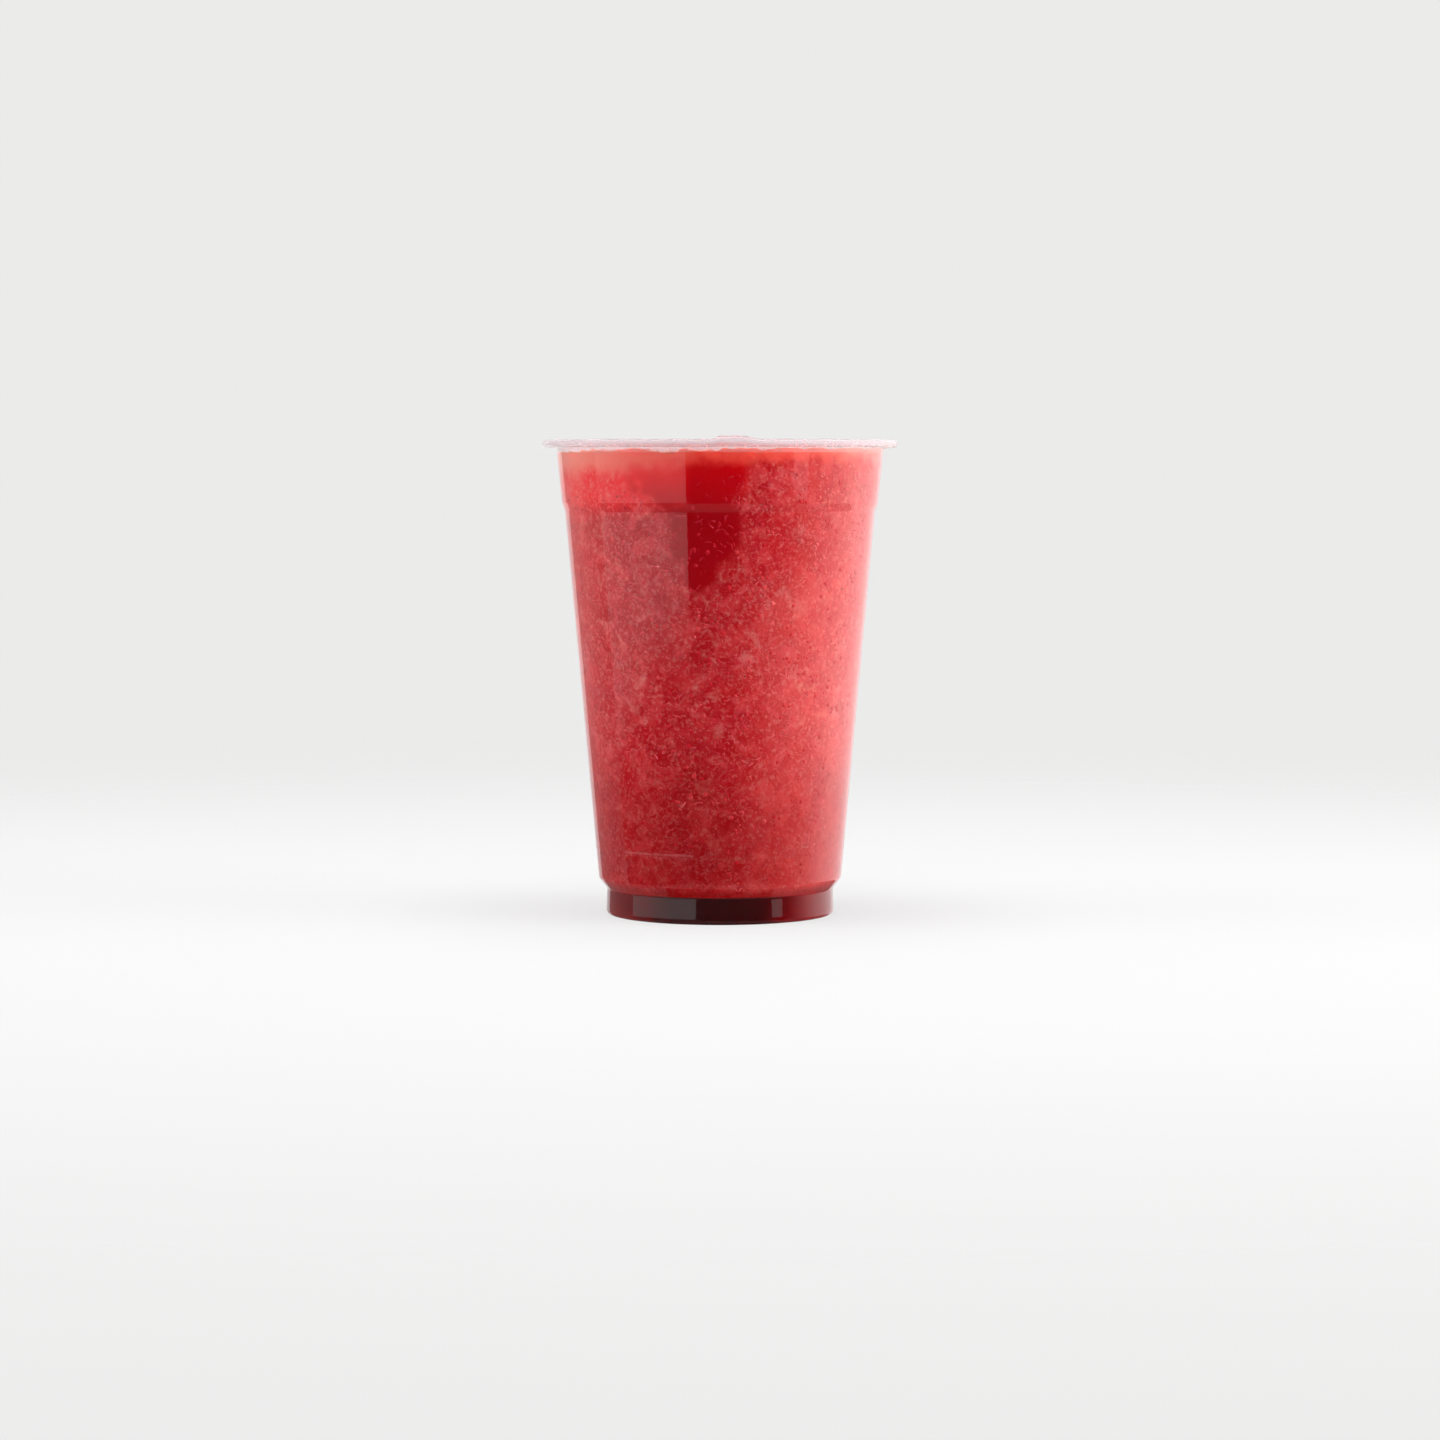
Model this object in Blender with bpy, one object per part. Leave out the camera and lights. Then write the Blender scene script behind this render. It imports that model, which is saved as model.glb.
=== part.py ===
"""Watermelon juice: a clear plastic cold cup with a rolled rim, filled nearly to the brim.

The drink is icy red slush that fills the cup, over a thin layer of dark juice settled in the foot.
Metres, +Z up. The origin is the middle of the flat ring that the cup stands on.
"""

import math

import bmesh
import bpy
from mathutils import Matrix, Vector, noise

# Cup, outside sizes
RIM_RADIUS = 0.0475
RIM_CREST = 0.1271
SHEET = 0.0004
BAND_TOP_RADIUS = 0.0439
KINK_TOP_RADIUS = 0.0433
KINK_TOP_HEIGHT = 0.1156
KINK_FOOT_RADIUS = 0.04272
KINK_FOOT_HEIGHT = 0.1143
BAND_FOOT_RADIUS = 0.0423
BAND_FOOT_HEIGHT = 0.1104
WALL_TOP_RADIUS = 0.0415
WALL_TOP_HEIGHT = 0.1082
WALL_FOOT_RADIUS = 0.0326
WALL_FOOT_HEIGHT = 0.0099
STAND_TOP_RADIUS = 0.0304
STAND_TOP_HEIGHT = 0.0070
STAND_RADIUS = 0.03065
STAND_INNER_RADIUS = 0.0272
PANEL_RADIUS = 0.0260
PANEL_HEIGHT = 0.0030

# Fine stacking bead low on the wall
BEAD_HEIGHT = 0.0182
BEAD_HALF_WIDTH = 0.0006
BEAD_DEPTH = 0.00016

# Rolled rim
ROLL_HEIGHT = 0.0021
ROLL_NECK_FILLET = 0.0011
ROLL_FILLET = 0.00064
ROLL_RETURN = 0.0012

# Slight lift in the near side of the rolled rim, where the plastic has warped
LIFT_HEIGHT = 0.0008
LIFT_START_X = -0.0013
LIFT_START_FADE = 0.0006
LIFT_END_X = 0.0102
LIFT_END_FADE = 0.0045

# Fillets of the outer face
PANEL_FILLET = 0.0007
STAND_INNER_FILLET = 0.0009
STAND_OUTER_FILLET = 0.0011
SHOULDER_LOW_FILLET = 0.0005
SHOULDER_HIGH_FILLET = 0.0014
STEP_LOW_FILLET = 0.0007
STEP_HIGH_FILLET = 0.0010

# Drink: the gap stands between its solids and the cup
DRINK_GAP = 0.0003
JUICE_LEVEL = 0.0074
SLUSH_LEVEL = 0.1240
SLUSH_TILT = 0.012
SLUSH_RELIEF = 0.00055
RELIEF_PITCH = 0.0058
RELIEF_ROUGHNESS = 0.9
RELIEF_LACUNARITY = 2.0
RELIEF_OCTAVES = 3
TOP_RINGS = 10

# Roundness of the turned shapes
SEGMENTS = 56
ARC_STEP = math.radians(34)
SHARP_ANGLE = math.radians(40)
MERGE_DISTANCE = 1e-7

# Colour, roughness and transmission
PLASTIC = ((0.93, 0.95, 0.96), 0.06, 0.9)
SLUSH = ((0.62, 0.045, 0.05), 0.45, 0.0)
SETTLED_JUICE = ((0.075, 0.002, 0.004), 0.12, 0.0)


def clear_scene():
    """Remove every object of the open scene."""
    for thing in list(bpy.data.objects):
        bpy.data.objects.remove(thing)


def rounded(corners):
    """Turn (radius, height, fillet) corners into a line of points, with each fillet as a short arc."""
    places = [Vector((radius, height)) for radius, height, _ in corners]
    points = [places[0]]
    for before, place, after, corner in zip(places, places[1:], places[2:], corners[1:]):
        fillet = corner[2]
        if fillet == 0:
            points.append(place)
            continue
        back = (before - place).normalized()
        ahead = (after - place).normalized()
        half = back.angle(ahead) / 2
        centre = place + (back + ahead).normalized() * (fillet / math.sin(half))
        arm = place + back * (fillet / math.tan(half)) - centre
        turn = math.pi - 2 * half
        if back.cross(ahead) > 0:
            turn = -turn
        steps = max(2, math.ceil(abs(turn) / ARC_STEP))
        points.extend(
            centre + Matrix.Rotation(turn * step / steps, 2) @ arm for step in range(steps + 1)
        )
    points.append(places[-1])
    return points


def left_of(direction):
    """The unit vector a quarter turn to the left of a direction."""
    return Vector((-direction.y, direction.x)).normalized()


def inside(points, distance):
    """The line at this distance on the left of a line of points, which is the drink's side of the sheet."""
    moved = []
    for index, point in enumerate(points):
        before = points[max(index - 1, 0)]
        after = points[min(index + 1, len(points) - 1)]
        normals = [left_of(b - a) for a, b in ((before, point), (point, after)) if (b - a).length > 0]
        middle = sum(normals, Vector((0, 0))).normalized()
        moved.append(point + middle * (distance / middle.dot(normals[0])))
    return moved


def outer_face():
    """The outer face of the sheet, from the middle of the underside to the free edge of the rolled rim."""
    wall_slope = (WALL_TOP_RADIUS - WALL_FOOT_RADIUS) / (WALL_TOP_HEIGHT - WALL_FOOT_HEIGHT)
    bead_radius = WALL_FOOT_RADIUS + wall_slope * (BEAD_HEIGHT - WALL_FOOT_HEIGHT)
    bead_rise = wall_slope * BEAD_HALF_WIDTH
    top = RIM_CREST - SHEET
    low = RIM_CREST - ROLL_HEIGHT + SHEET
    edge = RIM_RADIUS - SHEET
    return rounded(
        [
            (0, PANEL_HEIGHT, 0),
            (PANEL_RADIUS, PANEL_HEIGHT, PANEL_FILLET),
            (STAND_INNER_RADIUS, 0, STAND_INNER_FILLET),
            (STAND_RADIUS, 0, STAND_OUTER_FILLET),
            (STAND_TOP_RADIUS, STAND_TOP_HEIGHT, SHOULDER_LOW_FILLET),
            (WALL_FOOT_RADIUS, WALL_FOOT_HEIGHT, SHOULDER_HIGH_FILLET),
            (bead_radius - bead_rise, BEAD_HEIGHT - BEAD_HALF_WIDTH, 0),
            (bead_radius + BEAD_DEPTH, BEAD_HEIGHT, 0),
            (bead_radius + bead_rise, BEAD_HEIGHT + BEAD_HALF_WIDTH, 0),
            (WALL_TOP_RADIUS, WALL_TOP_HEIGHT, STEP_LOW_FILLET),
            (BAND_FOOT_RADIUS, BAND_FOOT_HEIGHT, STEP_HIGH_FILLET),
            (KINK_FOOT_RADIUS, KINK_FOOT_HEIGHT, 0),
            (KINK_TOP_RADIUS, KINK_TOP_HEIGHT, 0),
            (BAND_TOP_RADIUS, top, ROLL_NECK_FILLET),
            (edge, top, ROLL_FILLET),
            (edge, low, ROLL_FILLET),
            (edge - ROLL_RETURN, low, 0),
        ]
    )


def height_cut(points, height):
    """The point at this height on the rising part of a line, between its foot and its top."""
    for low, high in zip(points, points[1:]):
        if low.y <= height < high.y:
            return low.lerp(high, (height - low.y) / (high.y - low.y))
    raise ValueError(f"no part of the line rises through {height}")


def turned(name, outline, material):
    """A solid of revolution about Z from an outline of (radius, height) points that starts and ends on the axis."""
    mesh = bpy.data.meshes.new(name)
    shape = bmesh.new()
    corners = [shape.verts.new((point.x, 0, point.y)) for point in outline]
    edges = [shape.edges.new(pair) for pair in zip(corners, corners[1:])]
    bmesh.ops.spin(
        shape,
        geom=corners + edges,
        cent=(0, 0, 0),
        axis=(0, 0, 1),
        angle=math.tau,
        steps=SEGMENTS,
        use_merge=True,
    )
    bmesh.ops.remove_doubles(shape, verts=shape.verts, dist=MERGE_DISTANCE)
    bmesh.ops.recalc_face_normals(shape, faces=shape.faces)
    shape.to_mesh(mesh)
    shape.free()
    mesh.shade_smooth()
    mesh.set_sharp_from_angle(angle=SHARP_ANGLE)
    mesh.materials.append(material)
    thing = bpy.data.objects.new(name, mesh)
    bpy.context.scene.collection.objects.link(thing)
    return thing


def finish(name, look):
    """A Principled material from a (colour, roughness, transmission) look."""
    colour, roughness, transmission = look
    material = bpy.data.materials.new(name)
    material.use_nodes = True
    shader = material.node_tree.nodes["Principled BSDF"]
    shader.inputs["Base Color"].default_value = (*colour, 1)
    shader.inputs["Roughness"].default_value = roughness
    shader.inputs["Metallic"].default_value = 0
    shader.inputs["Transmission Weight"].default_value = transmission
    return material


def smooth_step(share):
    """Zero to one with flat ends, for a share held between them."""
    share = min(max(share, 0), 1)
    return share * share * (3 - 2 * share)


def lift_rim(cup):
    """Raise the short warped stretch on the near side of the rolled rim."""
    low = RIM_CREST - ROLL_HEIGHT
    for vertex in cup.data.vertices:
        place = vertex.co
        if place.y > 0 or place.z < low:
            continue
        start = smooth_step((place.x - LIFT_START_X) / LIFT_START_FADE)
        end = smooth_step((LIFT_END_X - place.x) / LIFT_END_FADE)
        up = smooth_step((place.z - low) / (RIM_CREST - low))
        place.z += LIFT_HEIGHT * start * end * up


def make_cup():
    """The clear cup: one sheet of even thickness, from the raised base panel to the rolled rim."""
    face = outer_face()
    outline = face + inside(face, SHEET)[::-1]
    cup = turned("cup", outline, finish("clear_plastic", PLASTIC))
    lift_rim(cup)
    return cup


def make_settled_juice():
    """The dark juice in the foot: it fills the ring around the base panel and lies level over the panel."""
    wet = inside(outer_face(), SHEET + DRINK_GAP)
    edge = height_cut(wet, JUICE_LEVEL)
    below = [point for point in wet if point.x <= edge.x and point.y < JUICE_LEVEL]
    outline = below + [edge, Vector((0, JUICE_LEVEL))]
    return turned("settled_juice", outline, finish("settled_juice", SETTLED_JUICE))


def slush_height(place):
    """The height of the uneven icy surface over a point of it: it leans up towards +X."""
    at = Vector((place.x, place.y, SLUSH_LEVEL)) / RELIEF_PITCH
    bumps = noise.fractal(at, RELIEF_ROUGHNESS, RELIEF_LACUNARITY, RELIEF_OCTAVES)
    return SLUSH_LEVEL + SLUSH_TILT * place.x + SLUSH_RELIEF * bumps


def make_slush():
    """The icy drink, from the settled juice to its uneven surface just below the rim."""
    wet = inside(outer_face(), SHEET + DRINK_GAP)
    bottom = JUICE_LEVEL + DRINK_GAP
    foot = height_cut(wet, bottom)
    edge = height_cut(wet, SLUSH_LEVEL)
    side = [point for point in wet if foot.x <= point.x <= edge.x and bottom < point.y < SLUSH_LEVEL]
    rings = [Vector((edge.x * (1 - ring / TOP_RINGS), SLUSH_LEVEL)) for ring in range(TOP_RINGS + 1)]
    outline = [Vector((0, bottom)), foot, *side, *rings]
    slush = turned("slush", outline, finish("watermelon_slush", SLUSH))
    for vertex in slush.data.vertices:
        if vertex.co.z > SLUSH_LEVEL - DRINK_GAP:
            vertex.co.z = slush_height(vertex.co)
    return slush


clear_scene()
make_cup()
make_settled_juice()
make_slush()
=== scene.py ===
"""Watermelon juice in a clear cold cup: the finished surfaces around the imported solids.

The cup is one turned sheet of clear plastic. The drink behind it is red juice crowded with fine curls
of pulp and chips of ice, clearer near the brim, with dark juice settled in the foot. Everything sits in
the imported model's own frame: metres, +Z up, the foot on z = 0 and the camera on the -Y side.
"""

from __future__ import annotations

import logging
import math
from collections.abc import Iterable, Sequence
from dataclasses import dataclass, field, replace
from enum import Enum
from functools import reduce

import bmesh
import bpy
import numpy as np
from mathutils import Matrix, Vector, noise

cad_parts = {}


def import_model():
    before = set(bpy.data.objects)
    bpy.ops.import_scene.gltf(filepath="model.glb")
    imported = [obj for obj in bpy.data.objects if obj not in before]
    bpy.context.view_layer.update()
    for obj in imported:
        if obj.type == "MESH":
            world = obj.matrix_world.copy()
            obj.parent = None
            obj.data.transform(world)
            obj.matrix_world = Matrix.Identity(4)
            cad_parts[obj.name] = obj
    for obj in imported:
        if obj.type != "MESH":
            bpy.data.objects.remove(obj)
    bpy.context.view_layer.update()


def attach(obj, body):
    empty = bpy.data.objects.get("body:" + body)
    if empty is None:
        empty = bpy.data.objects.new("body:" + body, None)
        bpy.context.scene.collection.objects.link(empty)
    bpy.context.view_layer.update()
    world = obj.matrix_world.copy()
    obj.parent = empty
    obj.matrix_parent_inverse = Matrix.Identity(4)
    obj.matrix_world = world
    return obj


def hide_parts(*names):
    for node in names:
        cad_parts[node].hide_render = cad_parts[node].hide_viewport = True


MM = 0.001
BODY = "root"
MERGE_DISTANCE = 0.001 * MM
CUT_DISTANCE = 0.0001 * MM
OUTER_FIRST = 0.001

log = logging.getLogger("watermelon_juice")

Colour = tuple[float, float, float]
Socket = bpy.types.NodeSocket


class Slot(Enum):
    """The record's material slots."""

    PLASTIC = "clear_plastic"
    SLUSH = "watermelon_slush"
    JUICE = "settled_juice"


# Turned outlines

BASE_RADIUS = 29.5 * MM
READ_STEPS = 6
READ_BELOW = 3.0 * MM
READ_ABOVE = 1.0 * MM
LONG_STRETCH = 1.0 * MM
STRETCH_STEP = 1.1 * MM
LEAST_CUTS = 3
MOST_CUTS = 20


@dataclass(frozen=True)
class Corner:
    """One corner of a turned outline, in metres, rounded by a fillet where it has one."""

    radius: float
    height: float
    fillet: float = 0.0

    @property
    def place(self) -> Vector:
        """The corner as a point of the (radius, height) plane."""
        return Vector((self.radius, self.height))


@dataclass(frozen=True)
class Outline:
    """The half section of a turned sheet, walked with the drink on its left."""

    corners: tuple[Corner, ...]

    def moved_in(self, distance: float) -> Outline:
        """Move the whole line towards the drink.

        Args:
            distance: How far each stretch moves, square to itself.

        Returns:
            The moved outline, whose fillets keep their centres.
        """
        places = [corner.place for corner in self.corners]
        runs = [(b - a).normalized() for a, b in zip(places, places[1:])]
        lefts = [Vector((-run.y, run.x)) for run in runs]
        moved = []
        for index, corner in enumerate(self.corners):
            before, after = lefts[max(index - 1, 0)], lefts[min(index, len(lefts) - 1)]
            place = corner.place + (before + after) * (distance / (1 + before.dot(after)))
            turns_left = runs[max(index - 1, 0)].cross(runs[min(index, len(runs) - 1)]) > 0
            fillet = corner.fillet - distance if turns_left else corner.fillet + distance
            moved.append(Corner(place.x, place.y, max(fillet, 0.0) if corner.fillet else 0.0))
        return Outline(tuple(moved))

    def draw(self, shape: bmesh.types.BMesh, steps: int) -> None:
        """Draw the outline as a wire in the XZ plane.

        Long stretches are divided, so that a fillet's shading stays at its own end of them.

        Args:
            shape: The mesh that takes the wire.
            steps: Segments of each fillet's arc.
        """
        knots = [shape.verts.new((corner.radius, 0, corner.height)) for corner in self.corners]
        for pair in zip(knots, knots[1:]):
            shape.edges.new(pair)
        places = [corner.place for corner in self.corners]
        for index in range(1, len(knots) - 1):
            if self.corners[index].fillet <= 0:
                continue
            back, ahead = places[index - 1] - places[index], places[index + 1] - places[index]
            offset = self.corners[index].fillet / math.tan(back.angle(ahead) / 2)
            bmesh.ops.bevel(
                shape, geom=[knots[index]], offset=offset, offset_type="OFFSET", affect="VERTICES",
                segments=steps, profile=0.5, material=-1,
            )
        for edge in shape.edges[:]:
            length = edge.calc_length()
            if length > LONG_STRETCH:
                cuts = min(max(round(length / STRETCH_STEP), LEAST_CUTS), MOST_CUTS)
                bmesh.ops.subdivide_edges(shape, edges=[edge], cuts=cuts)


@dataclass(frozen=True)
class CupForm:
    """The outer face of the cup's sheet, with the same sizes as the solid it dresses."""

    rim_radius: float = 47.5 * MM
    rim_crest: float = 127.1 * MM
    sheet: float = 0.4 * MM
    band_top: Corner = Corner(43.9 * MM, 0, 1.1 * MM)
    band_foot: Corner = Corner(42.3 * MM, 110.4 * MM, 1.0 * MM)
    wall_top: Corner = Corner(41.5 * MM, 108.2 * MM, 0.7 * MM)
    wall_foot: Corner = Corner(32.6 * MM, 9.9 * MM, 1.4 * MM)
    stand_top: Corner = Corner(30.4 * MM, 7.0 * MM, 0.5 * MM)
    stand_foot: Corner = Corner(30.65 * MM, 0, 1.1 * MM)
    stand_inner: Corner = Corner(27.2 * MM, 0, 0.9 * MM)
    panel_edge: Corner = Corner(26.0 * MM, 3.0 * MM, 0.7 * MM)
    bead_height: float = 18.2 * MM
    bead_half_width: float = 0.6 * MM
    bead_depth: float = 0.045 * MM
    bead_fillet: float = 0.6 * MM
    roll_height: float = 2.1 * MM
    roll_fillet: float = 0.64 * MM
    roll_return: float = 1.2 * MM

    @property
    def slope(self) -> float:
        """The straight wall's gain in radius for each metre of height."""
        rise = self.wall_top.height - self.wall_foot.height
        return (self.wall_top.radius - self.wall_foot.radius) / rise

    def bead(self) -> tuple[Corner, ...]:
        """The fine stacking bead low on the wall.

        Returns:
            Its three corners, from below.
        """
        middle = self.wall_foot.radius + self.slope * (self.bead_height - self.wall_foot.height)
        lean = self.slope * self.bead_half_width
        return (
            Corner(middle - lean, self.bead_height - self.bead_half_width, self.bead_fillet),
            Corner(middle + self.bead_depth, self.bead_height, self.bead_fillet),
            Corner(middle + lean, self.bead_height + self.bead_half_width, self.bead_fillet),
        )

    def outer_face(self) -> Outline:
        """The outer face of the whole cup.

        Returns:
            Its outline, from the middle of the underside to the free edge of the rolled rim.
        """
        top = self.rim_crest - self.sheet
        low = self.rim_crest - self.roll_height + self.sheet
        edge = self.rim_radius - self.sheet
        return Outline((
            Corner(0, self.panel_edge.height), self.panel_edge, self.stand_inner, self.stand_foot,
            self.stand_top, self.wall_foot, *self.bead(), self.wall_top, self.band_foot,
            Corner(self.band_top.radius, top, self.band_top.fillet),
            Corner(edge, top, self.roll_fillet), Corner(edge, low, self.roll_fillet),
            Corner(edge - self.roll_return, low),
        ))


@dataclass(frozen=True)
class WallSurface:
    """A face of the cup's wall as a function of azimuth and height, for what lies against it."""

    radii: np.ndarray
    heights: np.ndarray

    @classmethod
    def of(cls, outline: Outline, low: float, high: float) -> WallSurface:
        """Read the rising part of an outline, without the base, which has smaller radii.

        Args:
            outline: The line to read.
            low: Lowest height wanted.
            high: Highest height wanted.

        Returns:
            The wall between the two heights.
        """
        shape = bmesh.new()
        outline.draw(shape, READ_STEPS)
        points = sorted((v.co.z, v.co.x) for v in shape.verts if v.co.x > BASE_RADIUS)
        shape.free()
        inside = [(z, x) for z, x in points if low - READ_BELOW <= z <= high + READ_ABOVE]
        heights, radii = np.array(inside).T
        return cls(radii, heights)

    def frames(self, azimuth: np.ndarray, height: np.ndarray) -> tuple[np.ndarray, np.ndarray]:
        """Place points on the wall.

        Args:
            azimuth: Angle from -Y towards +X, in radians.
            height: Height above the foot.

        Returns:
            The points, and for each a matrix whose columns run round the wall, up it and out of it.
        """
        step = 0.25 * MM
        radius = np.interp(height, self.heights, self.radii)
        ahead = np.interp(height + step, self.heights, self.radii)
        behind = np.interp(height - step, self.heights, self.radii)
        lean = (ahead - behind) / (2 * step)
        side, front = np.sin(azimuth), -np.cos(azimuth)
        flat = np.zeros_like(side)
        points = np.stack([radius * side, radius * front, height], axis=1)
        size = np.sqrt(1 + lean * lean)
        around = np.stack([-front, side, flat], axis=1)
        up = np.stack([lean * side, lean * front, flat + 1], axis=1) / size[:, None]
        out = np.stack([side, front, -lean], axis=1) / size[:, None]
        return points, np.stack([around, up, out], axis=2)


# Mesh helpers


def finished(name: str, shape: bmesh.types.BMesh, sharp: float | None = 40.0) -> bpy.types.Object:
    """Turn a bmesh into a linked object.

    Args:
        name: The piece's name.
        shape: Its mesh, which is freed.
        sharp: Edges steeper than this many degrees stay sharp; None leaves the faces flat.

    Returns:
        The new object, at the origin.
    """
    mesh = bpy.data.meshes.new(name)
    shape.to_mesh(mesh)
    shape.free()
    if sharp is not None:
        mesh.shade_smooth()
        mesh.set_sharp_from_angle(angle=math.radians(sharp))
    return linked(name, mesh)


def linked(name: str, mesh: bpy.types.Mesh) -> bpy.types.Object:
    """Put a mesh into the scene.

    Args:
        name: The new object's name.
        mesh: Its mesh.

    Returns:
        The object, at the origin.
    """
    piece = bpy.data.objects.new(name, mesh)
    bpy.context.scene.collection.objects.link(piece)
    return piece


def swept(shape: bmesh.types.BMesh, angle: float, steps: int, closed: bool = False) -> None:
    """Sweep all that a bmesh holds about Z.

    Args:
        shape: The mesh that holds the wire.
        angle: How far, in radians.
        steps: Segments of the turn.
        closed: Whether the last segment joins the first.
    """
    bmesh.ops.spin(
        shape, geom=shape.verts[:] + shape.edges[:], cent=(0, 0, 0), axis=(0, 0, 1), dvec=(0, 0, 0),
        angle=angle, steps=steps, use_merge=closed, use_normal_flip=False, use_duplicate=False,
    )


def spun(shape: bmesh.types.BMesh, steps: int) -> None:
    """Turn a wire in the XZ plane once about Z, closing its seam and its poles.

    Args:
        shape: The mesh that holds the wire.
        steps: Segments of the full turn.
    """
    swept(shape, math.tau, steps, closed=True)
    bmesh.ops.remove_doubles(shape, verts=shape.verts, dist=MERGE_DISTANCE)
    bmesh.ops.recalc_face_normals(shape, faces=shape.faces)


def turns_about(axis: str, angles: np.ndarray) -> np.ndarray:
    """Matrices that turn about one axis.

    Args:
        axis: X, Y or Z.
        angles: One angle for each matrix, in radians.

    Returns:
        The matrices.
    """
    kept = "XYZ".index(axis)
    first, second = (kept + 1) % 3, (kept + 2) % 3
    turns = np.zeros((len(angles), 3, 3))
    turns[:, kept, kept] = 1.0
    turns[:, first, first] = turns[:, second, second] = np.cos(angles)
    turns[:, second, first] = np.sin(angles)
    turns[:, first, second] = -np.sin(angles)
    return turns


def smooth(share: float) -> float:
    """Zero to one with flat ends, for a share held between them."""
    share = min(max(share, 0.0), 1.0)
    return share * share * (3 - 2 * share)


def cut_wire(shape: bmesh.types.BMesh, height: float, keep_above: bool) -> bmesh.types.BMVert:
    """Cut a wire at a height and drop one side.

    Args:
        shape: The mesh that holds the wire.
        height: Where the level cut goes.
        keep_above: Which side stays.

    Returns:
        The new end of the wire, on the cut.
    """
    bmesh.ops.bisect_plane(
        shape, geom=shape.verts[:] + shape.edges[:], dist=CUT_DISTANCE, plane_co=(0, 0, height),
        plane_no=(0, 0, 1), clear_inner=keep_above, clear_outer=not keep_above,
    )
    return min(shape.verts, key=lambda vert: abs(vert.co.z - height) - vert.co.x * OUTER_FIRST)


@dataclass(frozen=True)
class Template:
    """A small shape that a scatter repeats: its points and its faces."""

    points: np.ndarray
    faces: tuple[tuple[int, ...], ...]

    @classmethod
    def taken(cls, shape: bmesh.types.BMesh) -> Template:
        """Read and free a bmesh.

        Args:
            shape: The bmesh.

        Returns:
            Its points and faces.
        """
        shape.verts.index_update()
        points = np.array([vert.co[:] for vert in shape.verts])
        faces = tuple(tuple(vert.index for vert in face.verts) for face in shape.faces)
        shape.free()
        return cls(points, faces)


@dataclass
class Scatter:
    """Copies of small shapes, gathered into one joined mesh."""

    name: str
    points: list[np.ndarray] = field(default_factory=list)
    loops: list[np.ndarray] = field(default_factory=list)
    sizes: list[np.ndarray] = field(default_factory=list)
    count: int = 0

    def add(self, template: Template, places: np.ndarray, turns: np.ndarray) -> None:
        """Add one copy of the template for each place.

        Args:
            template: The shape to repeat.
            places: Where each copy's own origin goes, one row each.
            turns: One matrix for each copy, with its size in it.
        """
        copies = np.einsum("nij,vj->nvi", turns, template.points) + places[:, None, :]
        start = self.count + np.arange(len(places)) * len(template.points)
        corners = np.concatenate([np.array(face) for face in template.faces])
        self.points.append(copies.reshape(-1, 3))
        self.loops.append((start[:, None] + corners[None, :]).ravel())
        self.sizes.append(np.tile([len(face) for face in template.faces], len(places)))
        self.count += copies.shape[0] * copies.shape[1]

    def joined(self, rounded: bool) -> bpy.types.Object:
        """Make the joined mesh.

        Args:
            rounded: Whether its faces are shaded smooth.

        Returns:
            The linked object.
        """
        points = np.concatenate(self.points).astype(np.float32)
        loops = np.concatenate(self.loops).astype(np.int32)
        sizes = np.concatenate(self.sizes).astype(np.int32)
        mesh = bpy.data.meshes.new(self.name)
        mesh.vertices.add(len(points))
        mesh.vertices.foreach_set("co", points.ravel())
        mesh.loops.add(len(loops))
        mesh.loops.foreach_set("vertex_index", loops)
        mesh.polygons.add(len(sizes))
        starts = np.concatenate([[0], np.cumsum(sizes)[:-1]]).astype(np.int32)
        mesh.polygons.foreach_set("loop_start", starts)
        mesh.update(calc_edges=True)
        mesh.validate()
        if rounded:
            mesh.shade_smooth()
        return linked(self.name, mesh)


# Shader helpers


@dataclass(frozen=True)
class Fade:
    """A change between two places: where it starts and ends, and the value at both."""

    start: float
    end: float
    first: float = 0.0
    last: float = 1.0

    def straight(self, values: np.ndarray) -> np.ndarray:
        """The change as a straight ramp, for a fade whose start is below its end."""
        return np.interp(values, [self.start, self.end], [self.first, self.last])


@dataclass(frozen=True)
class Cloud:
    """A layer of noise: width of its largest features, octaves, share of the finer ones, warp and cut."""

    size: float
    detail: float
    roughness: float
    warp: float
    cut: Fade


# Painted shade low in the drink: darker downwards, darkest just over the settled juice.
PAINTED_SHADE_EDGE = Fade(7.0 * MM, 10.2 * MM, 0.5, 1.0)
PAINTED_SHADE_DEPTH = Fade(14 * MM, 62 * MM, 0.70, 1.0)
# Painted side light at the drink's flanks, reaching further round lower down.
SIDE_LIGHT_SHIFT = Fade(82 * MM, 98 * MM, 0.0, 9 * MM)
RIGHT_SIDE_LIGHT = Fade(1 * MM, 27 * MM)
LEFT_SIDE_LIGHT = Fade(-26 * MM, -42 * MM)


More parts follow.
